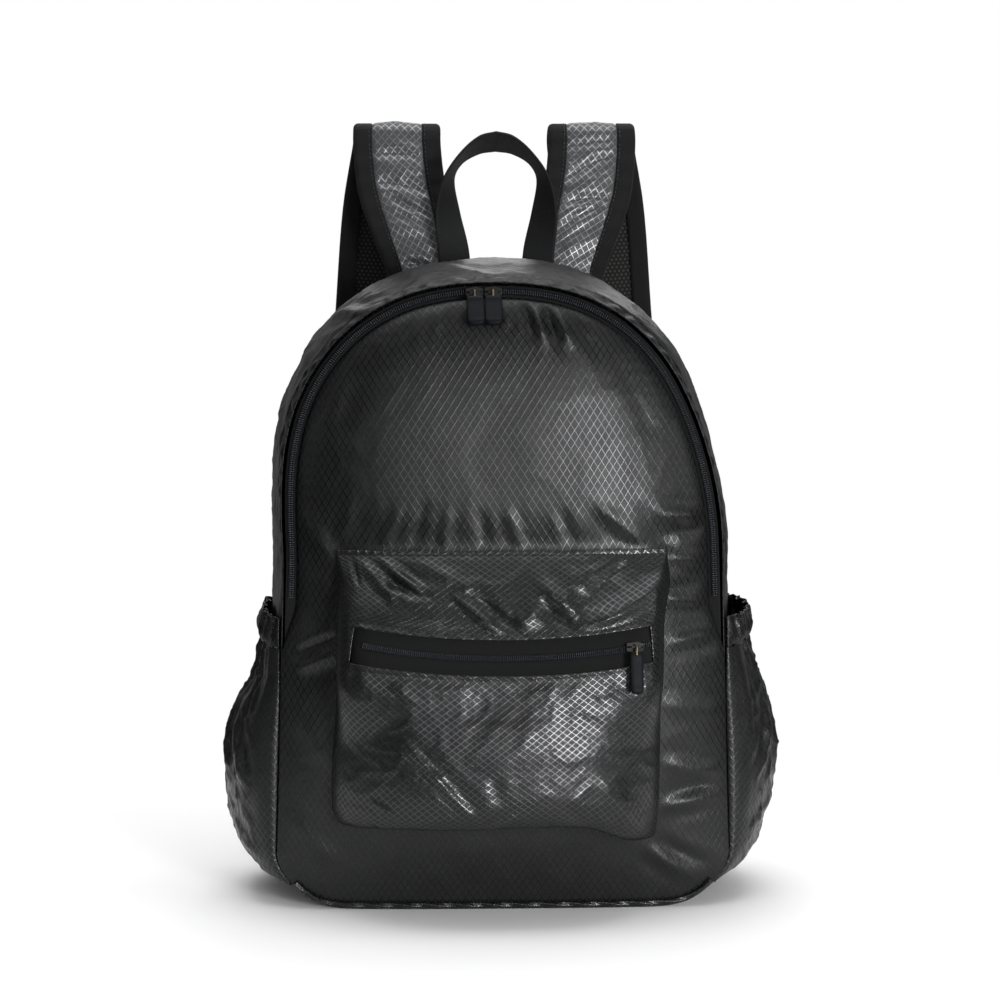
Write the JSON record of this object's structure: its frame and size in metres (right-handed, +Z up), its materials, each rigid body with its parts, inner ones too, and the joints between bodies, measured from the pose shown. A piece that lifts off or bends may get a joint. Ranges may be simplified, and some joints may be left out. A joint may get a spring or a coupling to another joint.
{
  "type": "packable backpack",
  "caption": "Soft packable backpack with arched main zip, zipped front pocket, stretch-hemmed side pockets, padded shoulder straps with ladder locks and a haul loop.",
  "frame": {"origin": "centre of the bounding box on the floor under the bag", "axes": "+Z up from the base to the haul loop, +Y towards the straps, so the front pocket faces -Y; +X to the right as seen from the front"},
  "size_m": [0.3706, 0.2714, 0.5146],
  "materials": {
    "ripstop_cloth": "thin dark grey diamond ripstop, slightly glossy",
    "strap_ripstop": "mid grey ripstop",
    "spacer_mesh": "black spacer mesh",
    "webbing": "black woven webbing and binding tape",
    "zip_tape": "black knitted zip tape",
    "zip_coil": "black nylon coil",
    "slider_metal": "black painted zip slider",
    "link_wire": "thin bronze wire link",
    "pull_rubber": "black moulded rubber",
    "lock_plastic": "black moulded plastic"
  },
  "bodies": {
    "bag": {"front_panel": "ripstop_cloth", "side_and_top": "ripstop_cloth", "base_panel": "ripstop_cloth", "base_roll": "ripstop_cloth", "back_panel": "ripstop_cloth", "main_zip_tape": "zip_tape", "main_zip_coil": "zip_coil", "main_slider_left": "slider_metal", "main_slider_right": "slider_metal", "front_pocket": "ripstop_cloth", "pocket_zip_tape": "zip_tape", "pocket_zip_coil": "zip_coil", "pocket_slider": "slider_metal", "side_pocket_left": "ripstop_cloth", "side_pocket_right": "ripstop_cloth", "side_pocket_hem_left": "ripstop_cloth", "side_pocket_hem_right": "ripstop_cloth", "strap_face_left": "strap_ripstop", "strap_face_right": "strap_ripstop", "strap_pad_left": "spacer_mesh", "strap_pad_right": "spacer_mesh", "strap_binding_outer_left": "webbing", "strap_binding_outer_right": "webbing", "strap_binding_inner_left": "webbing", "strap_binding_inner_right": "webbing", "lock_loop_left": "webbing", "lock_loop_right": "webbing", "ladder_lock_left": "lock_plastic", "ladder_lock_right": "lock_plastic", "strap_webbing_left": "webbing", "strap_webbing_right": "webbing", "anchor_tab_left": "ripstop_cloth", "anchor_tab_right": "ripstop_cloth", "haul_loop": "webbing"},
    "main_pull_left": {"main_pull_link_left": "link_wire", "main_pull_grip_left": "pull_rubber"},
    "main_pull_right": {"main_pull_link_right": "link_wire", "main_pull_grip_right": "pull_rubber"},
    "pocket_pull": {"pocket_pull_link": "link_wire", "pocket_pull_grip": "pull_rubber"}
  },
  "joints": [
    {"name": "main_pull_left_swing", "type": "hinge", "parent": "bag", "child": "main_pull_left", "pos_m": [-0.0188, -0.0695, 0.40519], "axis": [-0.9991, 0, -0.0416], "range_deg": [0, 100]},
    {"name": "main_pull_right_swing", "type": "hinge", "parent": "bag", "child": "main_pull_right", "pos_m": [-0.0068, -0.0695, 0.4054], "axis": [-1, 0, -0.0004], "range_deg": [0, 100]},
    {"name": "pocket_pull_swing", "type": "hinge", "parent": "bag", "child": "pocket_pull", "pos_m": [0.08246, -0.12608, 0.18182], "axis": [-0.9903, -0.1362, 0.0273], "range_deg": [0, 140]}
  ]
}
